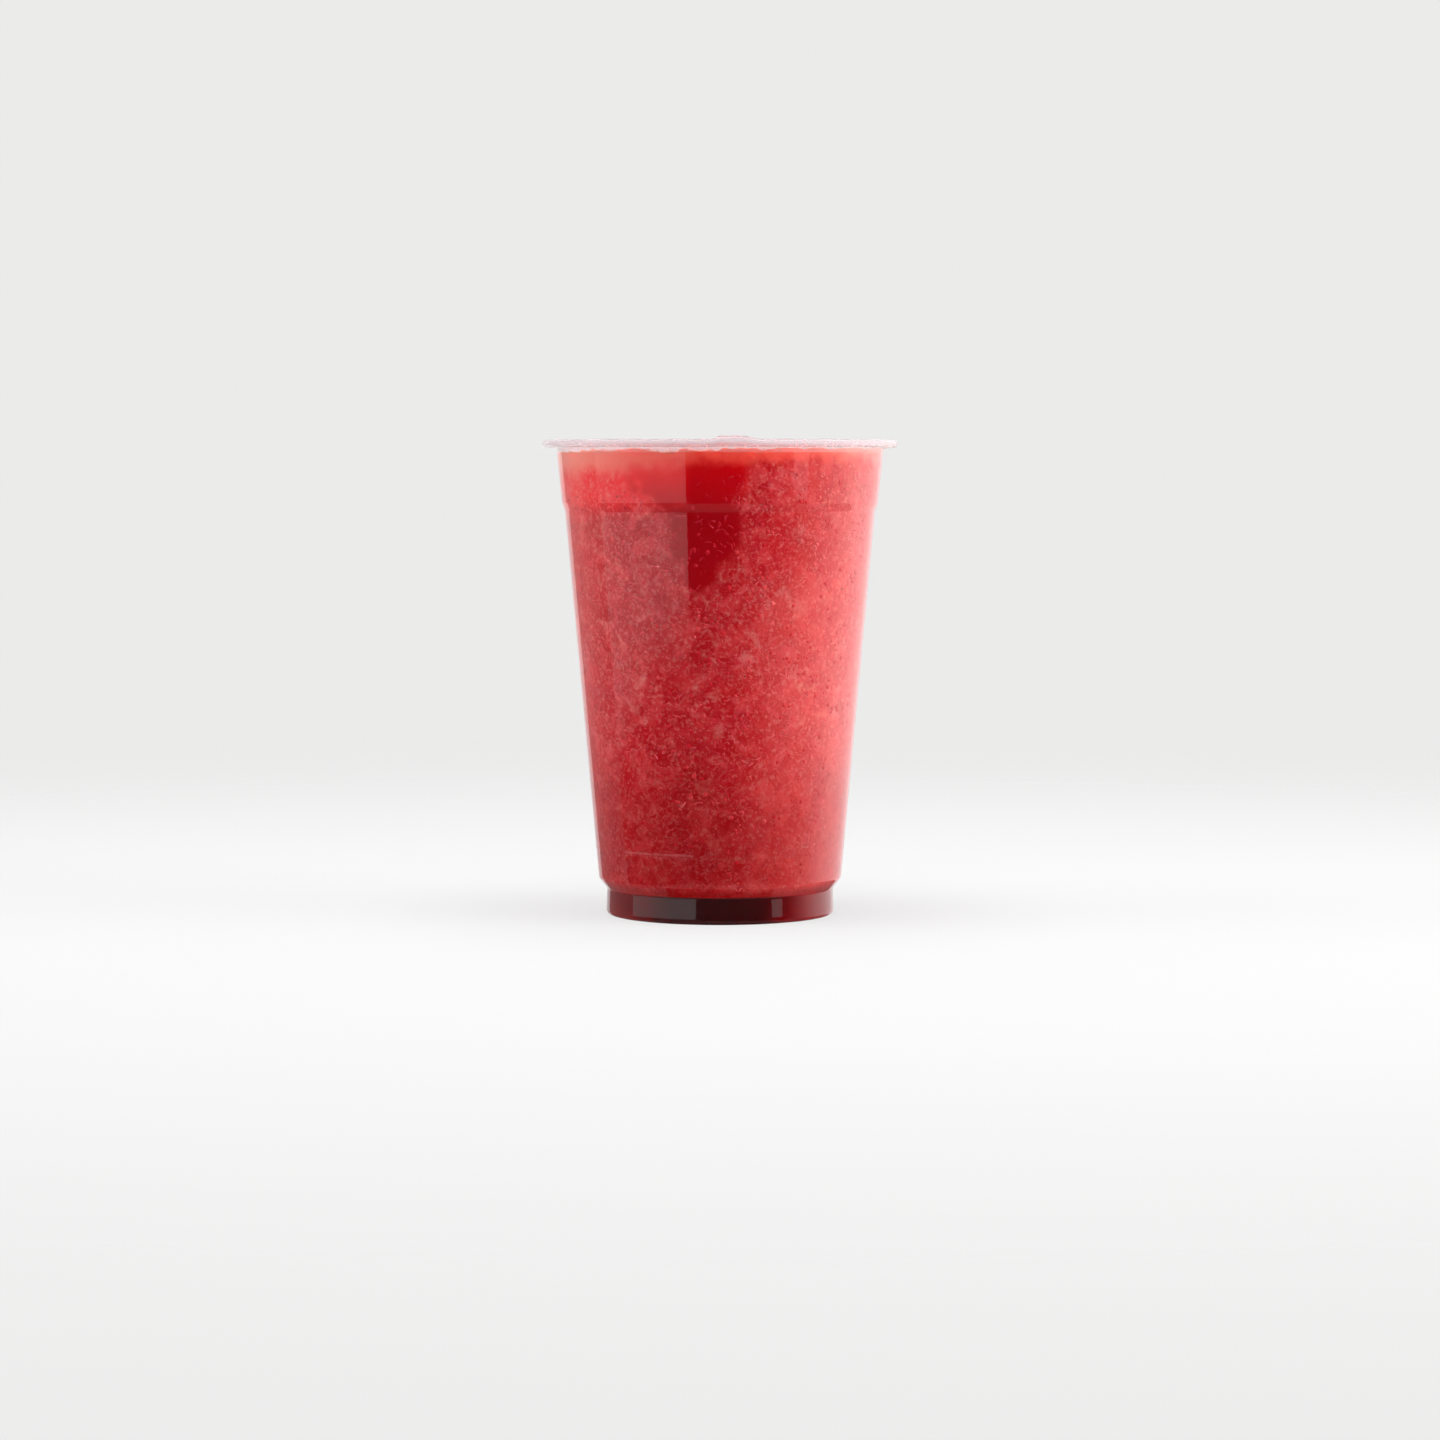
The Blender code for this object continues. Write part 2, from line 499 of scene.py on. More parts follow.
class Graph:
    """The node tree of a material or a world, with short ways to add what the finishes need."""

    def __init__(self, tree: bpy.types.NodeTree) -> None:
        """Clear the tree."""
        self.tree = tree
        tree.nodes.clear()

    def add(self, kind: str, inputs: dict[str | int, object] | None = None,
            **settings: object) -> bpy.types.Node:
        """Add a node.

        Args:
            kind: Its type, without the ShaderNode prefix.
            inputs: Values or sockets for its inputs, by name or number.
            settings: Properties of the node.

        Returns:
            The node.
        """
        node = self.tree.nodes.new("ShaderNode" + kind)
        for name, value in settings.items():
            setattr(node, name, value)
        for key, value in (inputs or {}).items():
            if isinstance(value, Socket):
                self.tree.links.new(value, node.inputs[key])
            elif isinstance(value, tuple) and len(value) == 3 and node.inputs[key].type == "RGBA":
                node.inputs[key].default_value = (*value, 1.0)
            else:
                node.inputs[key].default_value = value
        return node

    def finish(self, shader: bpy.types.Node) -> None:
        """Show a shader on the surface."""
        self.add("OutputMaterial", {"Surface": shader.outputs[0]})

    def place(self) -> Socket:
        """Object coordinates."""
        return self.add("TexCoord").outputs["Object"]

    def along(self, axis: str) -> Socket:
        """One of the Object coordinates."""
        return self.add("SeparateXYZ", {0: self.place()}).outputs[axis]

    def noise(self, size: float, detail: float = 2.0, roughness: float = 0.5, warp: float = 0.0) -> Socket:
        """Fractal noise on Object coordinates.

        Args:
            size: Width of its largest features, in metres.
            detail: Octaves.
            roughness: Share of the finer octaves.
            warp: Distortion.

        Returns:
            The value, about 0.5 on average.
        """
        settings = {"Scale": 1 / size, "Detail": detail, "Roughness": roughness, "Distortion": warp}
        return self.add("TexNoise", {"Vector": self.place(), **settings}).outputs["Fac"]

    def faded(self, value: Socket, fade: Fade) -> Socket:
        """Map a value smoothly, held at both ends.

        Args:
            value: The value, such as a coordinate.
            fade: The change that it goes through.

        Returns:
            The faded value.
        """
        ends = {"From Min": fade.start, "From Max": fade.end, "To Min": fade.first, "To Max": fade.last}
        return self.add(
            "MapRange", {"Value": value, **ends}, interpolation_type="SMOOTHSTEP").outputs["Result"]

    def cloud(self, layer: Cloud) -> Socket:
        """A layer of noise, cut to its range."""
        return self.faded(self.noise(layer.size, layer.detail, layer.roughness, layer.warp), layer.cut)

    def math(self, operation: str, *values: Socket | float) -> Socket:
        """A Math node on these values."""
        return self.add("Math", dict(enumerate(values)), operation=operation).outputs[0]

    def times(self, *values: Socket | float) -> Socket:
        """The product of these values."""
        return reduce(lambda product, value: self.math("MULTIPLY", product, value), values)

    def mix(self, share: Socket | float, first: Colour | Socket, second: Colour | Socket) -> Socket:
        """Mix two colours."""
        return self.add("Mix", {0: share, 6: first, 7: second}, data_type="RGBA").outputs[2]

    def vector(self, operation: str, *values: object) -> Socket:
        """A Vector Math node on these values; a length comes as a number."""
        node = self.add("VectorMath", dict(enumerate(values)), operation=operation)
        return node.outputs["Value" if operation == "LENGTH" else "Vector"]

    def settled(self, colour: Socket, painted_top_light: Socket | float = 0.0) -> Socket:
        """Paint shade on a colour of the drink, darker downwards and darkest just over the settled juice,
        with painted top light added as red.

        Args:
            colour: The colour higher up.
            painted_top_light: Red to add, as a share of it.

        Returns:
            The colour at this height.
        """
        height = self.along("Z")
        # Painted shade, stronger in green and blue than in red.
        near = self.faded(height, PAINTED_SHADE_EDGE)
        keeps = self.times(near, self.faded(height, PAINTED_SHADE_DEPTH))
        deeper = self.times(keeps, keeps)
        # Painted light from the open top, added as red.
        red = self.math("MULTIPLY_ADD", keeps, painted_top_light, keeps)
        tone = self.add("CombineXYZ", {0: red, 1: deeper, 2: deeper}).outputs[0]
        return self.vector("MULTIPLY", colour, tone)

    def painted_side_light(self) -> Socket:
        """Painted side light: how much paler and milkier the drink is painted where the side lamps light
        it through.

        Returns:
            One at its sides and zero in front, reaching nearer the front on the right, where the stronger
            side lamp stands, and further round lower down.
        """
        across = self.along("X")
        shift = self.faded(self.along("Z"), SIDE_LIGHT_SHIFT)
        right = self.faded(self.math("SUBTRACT", across, shift), RIGHT_SIDE_LIGHT)
        return self.math("ADD", right, self.faded(across, LEFT_SIDE_LIGHT))

    def bump(self, height: Socket, depth: float) -> Socket:
        """A normal that follows a height."""
        return self.add("Bump", {"Height": height, "Distance": depth, "Strength": 1.0}).outputs["Normal"]


def new_material(name: str) -> tuple[bpy.types.Material, Graph]:
    """Start a material.

    Args:
        name: Its name.

    Returns:
        The material and the graph of its empty node tree.
    """
    material = bpy.data.materials.new(name)
    material.use_nodes = True
    return material, Graph(material.node_tree)


@dataclass(frozen=True)
class ClearPlastic:
    """Thin clear cup plastic: glass to the eye, and open to the lamps so that the drink is lit."""

    name: str = "clear_cup_plastic"
    tint: Colour = (0.985, 0.99, 0.99)
    clearness: float = 1.0
    roughness: float = 0.03
    ior: float = 1.57
    ripple_size: float = 14 * MM
    ripple_depth: float = 0.02 * MM

    def make(self) -> bpy.types.Material:
        """Build the material.

        Returns:
            The material.
        """
        material, graph = new_material(self.name)
        ripple = graph.noise(self.ripple_size, detail=1.0)
        glass = graph.add("BsdfPrincipled", {
            "Base Color": self.tint, "Roughness": self.roughness, "IOR": self.ior,
            "Transmission Weight": self.clearness, "Normal": graph.bump(ripple, self.ripple_depth),
        })
        path = graph.add("LightPath")
        open_rays = graph.math("MAXIMUM", path.outputs["Is Shadow Ray"], path.outputs["Is Diffuse Ray"])
        through = graph.add("BsdfTransparent")
        graph.finish(graph.add("MixShader", {0: open_rays, 1: glass.outputs[0], 2: through.outputs[0]}))
        return material


@dataclass(frozen=True)
class Pocket:
    """A stretch of the drink with little ice, where clear juice lies against the wall."""

    centre: tuple[float, float, float]
    reach: tuple[float, float, float]

    def nearness(self, graph: Graph) -> Socket:
        """Distance from the centre, as one at the pocket's edge, in a shader."""
        offset = graph.vector("SUBTRACT", graph.place(), self.centre)
        return graph.vector("LENGTH", graph.vector("DIVIDE", offset, self.reach))

    def distance(self, points: np.ndarray) -> np.ndarray:
        """The same distance for an array of points."""
        return np.linalg.norm((points - np.array(self.centre)) / np.array(self.reach), axis=1)


POCKETS = (
    Pocket((-9.0 * MM, -42.0 * MM, 119.0 * MM), (20.0 * MM, 18.0 * MM, 13.0 * MM)),
    Pocket((-3.5 * MM, -40.0 * MM, 104.0 * MM), (11.0 * MM, 14.0 * MM, 12.0 * MM)),
    Pocket((-5.0 * MM, -38.0 * MM, 94.0 * MM), (5.0 * MM, 14.0 * MM, 8.0 * MM)),
)
POCKET_RAGGED = 0.8
POCKET_EDGE = Fade(1.05, 1.55)


def iciness(graph: Graph) -> Socket:
    """How much ice the drink holds.

    Args:
        graph: The graph of a finish.

    Returns:
        Zero in the pockets and one outside them, with a ragged edge.
    """
    nearest = POCKETS[0].nearness(graph)
    for pocket in POCKETS[1:]:
        nearest = graph.math("MINIMUM", nearest, pocket.nearness(graph))
    ragged = graph.noise(5 * MM, detail=3.0, roughness=0.6)
    ragged = graph.math("MULTIPLY_ADD", ragged, POCKET_RAGGED, nearest)
    return graph.faded(ragged, POCKET_EDGE)


@dataclass(frozen=True)
class SlushFinish:
    """Red juice crowded with pulp and ice: cloudy at several scales, clearer in the pockets."""

    name: str
    juice: Colour = (0.48, 0.0012, 0.007)
    pulp: Colour = (0.60, 0.008, 0.018)
    milky_and_side_lit: Colour = (0.78, 0.064, 0.074)
    ice: Colour = (0.90, 0.27, 0.24)
    # Froth near the brim, partly real froth and partly painted light from the open top; paler at the sides
    # by painted side light.
    froth_and_top_glow: Colour = (0.98, 0.13, 0.09)
    side_lit_froth_and_top_glow: Colour = (0.99, 0.30, 0.24)
    pale: float = 0.42
    gloss: float = 0.1
    roughness: float = 0.5
    ior: float = 1.34
    bleed: Colour = (1.0, 0.14, 0.12)
    soak: float = 9.0 * MM
    grit_size: float = 1.1 * MM
    grit_depth: float = 0.12 * MM
    clouds: Cloud = Cloud(12 * MM, 3.0, 0.55, 0.3, Fade(0.32, 0.68))
    clumps: Cloud = Cloud(3.6 * MM, 4.0, 0.62, 0.5, Fade(0.42, 0.68))
    grains: Cloud = Cloud(0.95 * MM, 2.0, 0.6, 0.6, Fade(0.48, 0.72))
    clods: Cloud = Cloud(8 * MM, 2.0, 0.6, 1.2, Fade(0.49, 0.64))
    frost: Cloud = Cloud(5.5 * MM, 3.0, 0.6, 0.8, Fade(0.54, 0.70))
    least_body: float = 0.5
    clump_milk: float = 0.46
    clod_milk: float = 0.56
    # Painted side light: how much the flanks are painted milkier and paler.
    side_light_milk: float = 0.50
    side_light_ice: float = 0.55
    least_frost: float = 0.22
    more_frost: float = 0.24
    frost_rises: Fade = Fade(40 * MM, 62 * MM)
    frost_falls: Fade = Fade(96 * MM, 76 * MM)
    # Painted light from the open top: extra red high in the drink, on the left and in the middle.
    painted_top_light_left: Fade = Fade(-6.5 * MM, -11 * MM, 0.0, 0.40)
    painted_top_light_middle: Fade = Fade(9 * MM, 5 * MM, 0.0, 0.40)
    painted_top_light_height: Fade = Fade(104 * MM, 119 * MM)
    brim: Fade = Fade(121.9 * MM, 127.6 * MM)
    brim_ragged: float = 5 * MM
    top_glow_lower_left: Fade = Fade(6 * MM, -34 * MM, 0.0, 3.5 * MM)
    froth_side_light: Fade = Fade(16 * MM, 42 * MM)

    def colour(self, graph: Graph) -> Socket:
        """The drink's colour: clouds of pulp over clear juice, with painted side light at its flanks,
        froth near the brim that is partly painted top light, painted top light in the upper drink and
        painted shade low down.

        Args:
            graph: The graph of this finish.

        Returns:
            The colour.
        """
        icy, painted_side_light = iciness(graph), graph.painted_side_light()
        across, height = graph.along("X"), graph.along("Z")
        body = graph.math("MULTIPLY_ADD", graph.cloud(self.clouds), 1 - self.least_body, self.least_body)
        base = graph.mix(graph.times(body, icy), self.juice, self.pulp)
        milk_and_side_light = graph.times(graph.cloud(self.clumps), self.clump_milk)
        # Painted side light: the flanks are painted milkier.
        milk_and_side_light = graph.math("MULTIPLY_ADD", painted_side_light, self.side_light_milk, milk_and_side_light)
        milk_and_side_light = graph.math("MULTIPLY_ADD", graph.cloud(self.clods), self.clod_milk, milk_and_side_light)
        base = graph.mix(graph.times(milk_and_side_light, icy), base, self.milky_and_side_lit)
        # Painted side light: the flanks are painted paler, towards ice.
        pale = graph.math("MULTIPLY_ADD", painted_side_light, self.side_light_ice, graph.cloud(self.grains))
        base = graph.mix(graph.times(pale, icy, self.pale), base, self.ice)
        zone = graph.times(graph.faded(height, self.frost_rises), graph.faded(height, self.frost_falls))
        share = graph.math("MULTIPLY_ADD", zone, self.more_frost, self.least_frost)
        base = graph.mix(graph.times(graph.cloud(self.frost), icy, share), base, self.ice)
        # Painted light from the open top: the upper drink is painted redder, most on the left.
        lit = graph.math("ADD", graph.faded(across, self.painted_top_light_left), graph.faded(across, self.painted_top_light_middle))
        lit = graph.times(lit, graph.faded(height, self.painted_top_light_height))
        # Froth band near the brim, partly painted top light, reaching lower on the left and painted paler
        # at the sides.
        level = graph.math("MULTIPLY_ADD", graph.noise(4 * MM, 2.0), self.brim_ragged, height)
        level = graph.math("ADD", level, graph.faded(across, self.top_glow_lower_left))
        sides = graph.faded(graph.math("ABSOLUTE", across), self.froth_side_light)
        froth_and_top_glow = graph.mix(sides, self.froth_and_top_glow, self.side_lit_froth_and_top_glow)
        return graph.mix(graph.faded(level, self.brim), graph.settled(base, lit), froth_and_top_glow)

    def make(self) -> bpy.types.Material:
        """Build the material.

        Returns:
            The material.
        """
        material, graph = new_material(self.name)
        grit = graph.noise(self.grit_size, detail=3.0, roughness=0.6)
        graph.finish(graph.add("BsdfPrincipled", {
            "Base Color": self.colour(graph), "Roughness": self.roughness,
            "Specular IOR Level": self.gloss, "IOR": self.ior, "Subsurface Weight": 1.0,
            "Subsurface Radius": self.bleed, "Subsurface Scale": self.soak,
            "Normal": graph.bump(grit, self.grit_depth),
        }, subsurface_method="RANDOM_WALK"))
        return material


@dataclass(frozen=True)
class FleckFinish:
    """Pulp or ice seen through juice: its colour wanders between what lies deep and what is close, painted
    paler at the flanks as side light and darker low down as shade.
    """

    name: str
    deep: Colour
    close: Colour
    # Colour of the painted side light on flecks at the flanks.
    side_lit_colour: Colour = (0.92, 0.24, 0.21)
    roughness: float = 0.45
    gloss: float = 0.1
    softness: float = 0.5
    bleed: Colour = (1.0, 0.6, 0.6)
    soak: float = 0.25 * MM
    # Strength of the painted side light on flecks at the flanks.
    frost: float = 0.6
    grain_share: float = 0.24
    patch_share: float = 0.58
    side_light_share: float = 0.55
    grains: Cloud = Cloud(2.2 * MM, 1.0, 0.5, 0.0, Fade(0.42, 0.74))
    patches: Cloud = Cloud(9 * MM, 2.0, 0.5, 0.0, Fade(0.45, 0.66))
    side_lit_cut: Fade = Fade(0.50, 0.64)

    def make(self) -> bpy.types.Material:
        """Build the material.

        Returns:
            The material.
        """
        material, graph = new_material(self.name)
        painted_side_light, icy = graph.painted_side_light(), iciness(graph)
        near = graph.times(graph.cloud(self.patches), self.patch_share)
        near = graph.math("MULTIPLY_ADD", graph.cloud(self.grains), self.grain_share, near)
        # Painted side light pushes flecks at the flanks towards the close colour.
        near = graph.times(graph.math("MULTIPLY_ADD", painted_side_light, self.side_light_share, near), icy)
        # Painted side light: flecks at the flanks are painted in the side-lit colour.
        side_lit = graph.cloud(replace(self.patches, cut=self.side_lit_cut))
        side_lit = graph.times(side_lit, painted_side_light, icy, self.frost)
        colour = graph.mix(side_lit, graph.mix(near, self.deep, self.close), self.side_lit_colour)
        # Painted shade low down on the flecks, as on the drink.
        graph.finish(graph.add("BsdfPrincipled", {
            "Base Color": graph.settled(colour), "Roughness": self.roughness,
            "Specular IOR Level": self.gloss, "Subsurface Weight": self.softness,
            "Subsurface Radius": self.bleed, "Subsurface Scale": self.soak,
        }))
        return material


@dataclass(frozen=True)
class DarkJuice:
    """Clear juice settled in the foot: nearly black in front, painted red towards the sides where the side
    lamps' light crosses it.
    """

    deep: Colour = (0.042, 0.0004, 0.0010)
    lit: Colour = (0.24, 0.0015, 0.0040)
    roughness: float = 0.3
    gloss: float = 0.1
    bleed: Colour = (1.0, 0.1, 0.1)
    soak: float = 4.0 * MM
    left_share: float = -0.75
    drift_size: float = 7 * MM
    drift: float = 8 * MM
    side_lit_reach: Fade = Fade(12 * MM, 30 * MM)

    def make(self) -> bpy.types.Material:
        """Build the material.

        Returns:
            The material.
        """
        material, graph = new_material("dark_settled_juice")
        drift = graph.noise(self.drift_size, warp=0.8)
        # Painted side light: the juice is painted red towards the sides, more on the right.
        across = graph.along("X")
        outward = graph.math("MAXIMUM", across, graph.times(across, self.left_share))
        outward = graph.math("MULTIPLY_ADD", drift, self.drift, outward)
        graph.finish(graph.add("BsdfPrincipled", {
            "Base Color": graph.mix(graph.faded(outward, self.side_lit_reach), self.deep, self.lit),
            "Roughness": self.roughness, "Specular IOR Level": self.gloss, "Subsurface Weight": 1.0,
            "Subsurface Radius": self.bleed, "Subsurface Scale": self.soak,
        }))
        return material


@dataclass(frozen=True)
class DarkBits:
    """Tiny dark bits of rind and seed skin in the drink."""

    light: Colour = (0.20, 0.012, 0.010)
    dark: Colour = (0.05, 0.006, 0.005)
    shades: Cloud = Cloud(3 * MM, 1.0, 0.5, 0.0, Fade(0.4, 0.6))
    roughness: float = 0.5
    gloss: float = 0.2

    def make(self) -> bpy.types.Material:
        """Build the material.

        Returns:
            The material.
        """
        material, graph = new_material("dark_pulp_bits")
        graph.finish(graph.add("BsdfPrincipled", {
            "Base Color": graph.mix(graph.cloud(self.shades), self.dark, self.light),
            "Roughness": self.roughness, "Specular IOR Level": self.gloss,
        }))
        return material


# The cup


@dataclass
class Cup:
    """The clear cup: one turned sheet with a short lift in its rolled rim."""

    form: CupForm = field(default_factory=CupForm)
    finish: ClearPlastic = field(default_factory=ClearPlastic)
    # The rim's pink tint is a painted reflection of the red drink below it.
    rim_finish: ClearPlastic = field(default_factory=lambda: ClearPlastic(
        "clouded_rim_plastic_painted_pink", tint=(0.97, 0.87, 0.895), clearness=0.84, roughness=0.17, ior=1.33))
    rim_foot: float = 123.7 * MM
    turn_steps: int = 288
    arc_steps: int = 5
    lift_height: float = 0.8 * MM
    lift_start: float = -1.3 * MM
    lift_start_fade: float = 0.6 * MM
    lift_end: float = 10.2 * MM
    lift_end_fade: float = 4.5 * MM

    def build(self) -> bpy.types.Object:
        """Turn the outer face, give the sheet its thickness and lift the warped stretch.

        Returns:
            The cup.
        """
        shape = bmesh.new()
        self.form.outer_face().draw(shape, self.arc_steps)
        spun(shape, self.turn_steps)
        wall = max(shape.faces, key=lambda face: face.calc_area())
        if wall.normal.dot(Vector((*wall.calc_center_median().xy, 0))) < 0:
            bmesh.ops.reverse_faces(shape, faces=shape.faces[:])
        bmesh.ops.solidify(shape, geom=shape.faces[:], thickness=self.form.sheet)
        bmesh.ops.recalc_face_normals(shape, faces=shape.faces)
        for vert in shape.verts:
            vert.co.z += self.lift(vert.co)
        for face in shape.faces:
            face.material_index = int(face.calc_center_median().z > self.rim_foot)
        shell = finished("cup_shell", shape)
        shell.data.materials.append(self.finish.make())
        shell.data.materials.append(self.rim_finish.make())
        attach(shell, BODY)
        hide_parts("cup")
        return shell

    def lift(self, place: Vector) -> float:
        """How far the rim's warped stretch raises a point of the near side.

        Args:
            place: The point.

        Returns:
            The rise, zero outside the stretch.
        """
        low = self.form.rim_crest - self.form.roll_height
        if place.y > 0 or place.z < low:
            return 0.0
        start = smooth((place.x - self.lift_start) / self.lift_start_fade)
        end = smooth((self.lift_end - place.x) / self.lift_end_fade)
        return self.lift_height * start * end * smooth((place.z - low) / self.form.roll_height)


# The drink


@dataclass
class Drink:
    """The slush and the juice settled under it, both reaching just into the cup's wall."""

    form: CupForm = field(default_factory=CupForm)
    bite: float = 0.27 * MM
    meniscus: float = 0.55 * MM
    meniscus_width: float = 2.4 * MM
    juice_level: float = 7.4 * MM
    slush_level: float = 124.0 * MM
    tilt: float = 0.012
    relief: float = 0.55 * MM
    relief_pitch: float = 5.8 * MM
    relief_roughness: float = 0.9
    relief_octaves: int = 3
    fine_relief: float = 0.12 * MM
    fine_pitch: float = 1.3 * MM
    climb: float = 0.7
    climb_uneven: float = 0.8
    top_reach: float = 1.0 * MM
    turn_steps: int = 288
    rings: int = 64
    arc_steps: int = 5
    wall_finish: SlushFinish = field(default_factory=lambda: SlushFinish("slush_behind_wall"))
    top_finish: SlushFinish = field(default_factory=lambda: SlushFinish(
        "slush_top", froth_and_top_glow=(0.86, 0.09, 0.075), side_lit_froth_and_top_glow=(0.90, 0.16, 0.13), pale=0.6, gloss=0.5,
        roughness=0.22))
    juice_finish: DarkJuice = field(default_factory=DarkJuice)

    def __post_init__(self) -> None:
        """Work out the radius of the drink's surface."""
        wall = WallSurface.of(self.face, self.juice_level, self.slush_level)
        self.brim_radius = float(np.interp(self.slush_level, wall.heights, wall.radii))

    @property
    def face(self) -> Outline:
        """The drink's face inside the sheet of the cup."""
        return self.form.outer_face().moved_in(self.form.sheet - self.bite)

    def surface_height(self, x: float, y: float) -> float:
        """Height of the uneven surface: the same form as the solid's.

        Args:
            x: Where, across.
            y: Where, towards the back.

        Returns:
            The height over that point.
        """
        at = Vector((x, y, self.slush_level)) / self.relief_pitch
        bumps = noise.fractal(at, self.relief_roughness, 2.0, self.relief_octaves)
        fine = noise.noise(Vector((x, y, 0)) / self.fine_pitch)
        from_wall = self.brim_radius - math.hypot(x, y)
        climb = smooth(1 - from_wall / self.meniscus_width) * (self.climb + self.climb_uneven * fine)
        level = self.slush_level + self.tilt * x + self.relief * bumps
        return level + self.fine_relief * fine + self.meniscus * max(climb, 0.0)

    def build_slush(self) -> bpy.types.Object:
        """Turn the slush's body and give its top the icy relief.

        Returns:
            The slush.
        """
        shape = bmesh.new()
        self.face.draw(shape, self.arc_steps)
        low = cut_wire(shape, self.juice_level, keep_above=True)
        high = cut_wire(shape, self.slush_level, keep_above=False)
        shape.edges.new((low, shape.verts.new((0, 0, self.juice_level))))
        top = shape.edges.new((high, shape.verts.new((0, 0, self.slush_level))))
        bmesh.ops.subdivide_edges(shape, edges=[top], cuts=self.rings - 1)
        spun(shape, self.turn_steps)
        near_top = self.slush_level - 0.01 * MM
        for vert in shape.verts:
            if vert.co.z > near_top:
                vert.co.z = self.surface_height(vert.co.x, vert.co.y)
        for face in shape.faces:
            high_up = face.calc_center_median().z > near_top - self.top_reach
            face.material_index = int(high_up and face.normal.z > 0.5)
        body = finished("slush_body", shape, sharp=60.0)
        body.data.materials.append(self.wall_finish.make())
        body.data.materials.append(self.top_finish.make())
        body.visible_diffuse = False
        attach(body, BODY)
        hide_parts("slush")
        return body

    def build_juice(self) -> bpy.types.Object:
        """Turn the settled juice: the ring in the foot and the layer over the base panel.

        Returns:
            The juice.
        """
        shape = bmesh.new()
        self.face.draw(shape, self.arc_steps)
        edge = cut_wire(shape, self.juice_level, keep_above=False)
        shape.edges.new((edge, shape.verts.new((0, 0, self.juice_level))))
        spun(shape, self.turn_steps)
        body = finished("juice_in_foot", shape)
        body.data.materials.append(self.juice_finish.make())
        body.visible_diffuse = False
        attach(body, BODY)
        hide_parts("settled_juice")
        return body


# Pulp and ice


@dataclass(frozen=True)
class Fibre:
    """A thin curved shred of pulp: its middle length and width, how far it bends, and how many."""

    length: float
    width: float
    bend: float
    stations: int
    count: int
    tip: float = 0.3
    taper: float = 0.7

    def middle(self, angle: float) -> Vector:
        """The point of the bent middle line at an angle from its start."""
        radius = self.length / math.radians(self.bend)
        return Vector((radius * math.cos(angle), radius * math.sin(angle), 0))

    def template(self) -> Template:
        """Draw one shred at its middle size.

        Returns:
            A tapered three-sided rod bent in the XY plane, with its ridge up.
        """
        shape = bmesh.new()
        turn = math.radians(self.bend)
        on_edge = Matrix.Rotation(math.pi / 2, 4, "X") @ Matrix.Rotation(math.pi / 2, 4, "Z")
        bmesh.ops.create_circle(
            shape, cap_ends=False, segments=3, radius=self.width / math.sqrt(3),
            matrix=Matrix.Translation(self.middle(0)) @ on_edge,
        )
        swept(shape, turn, self.stations)
        for vert in shape.verts:
            angle = math.atan2(vert.co.y, vert.co.x)
            share = min(max(angle / turn, 0), 1)
            girth = self.tip + (1 - self.tip) * math.sin(math.pi * share) ** self.taper
            middle = self.middle(angle)
            vert.co = middle + (vert.co - middle) * girth
        bmesh.ops.holes_fill(shape, edges=shape.edges[:], sides=3)
        bmesh.ops.recalc_face_normals(shape, faces=shape.faces)
        bmesh.ops.translate(shape, verts=shape.verts, vec=-self.middle(turn / 2))
        return Template.taken(shape)


def chip_template(rng: np.random.Generator, rough: float = 0.28) -> Template:
    """An irregular chip of ice about one metre wide, for a scatter to shrink.

    Args:
        rng: Source of its unevenness.
        rough: How far its points move in and out.

    Returns:
        The template.
    """
    shape = bmesh.new()
    bmesh.ops.create_icosphere(shape, subdivisions=1, radius=0.5)
    for vert in shape.verts:
        vert.co *= 1 + rng.uniform(-rough, rough)
    return Template.taken(shape)


def uneven(rng: np.random.Generator, width: np.ndarray, least: float) -> np.ndarray:
    """Sizes of chips along three axes.

    Args:
        rng: Source of their unevenness.
        width: Largest size of each chip.
        least: Least share of it along an axis.

    Returns:
        One row for each chip.
    """
    return width[:, None] * rng.uniform(least, 1.0, (len(width), 3))


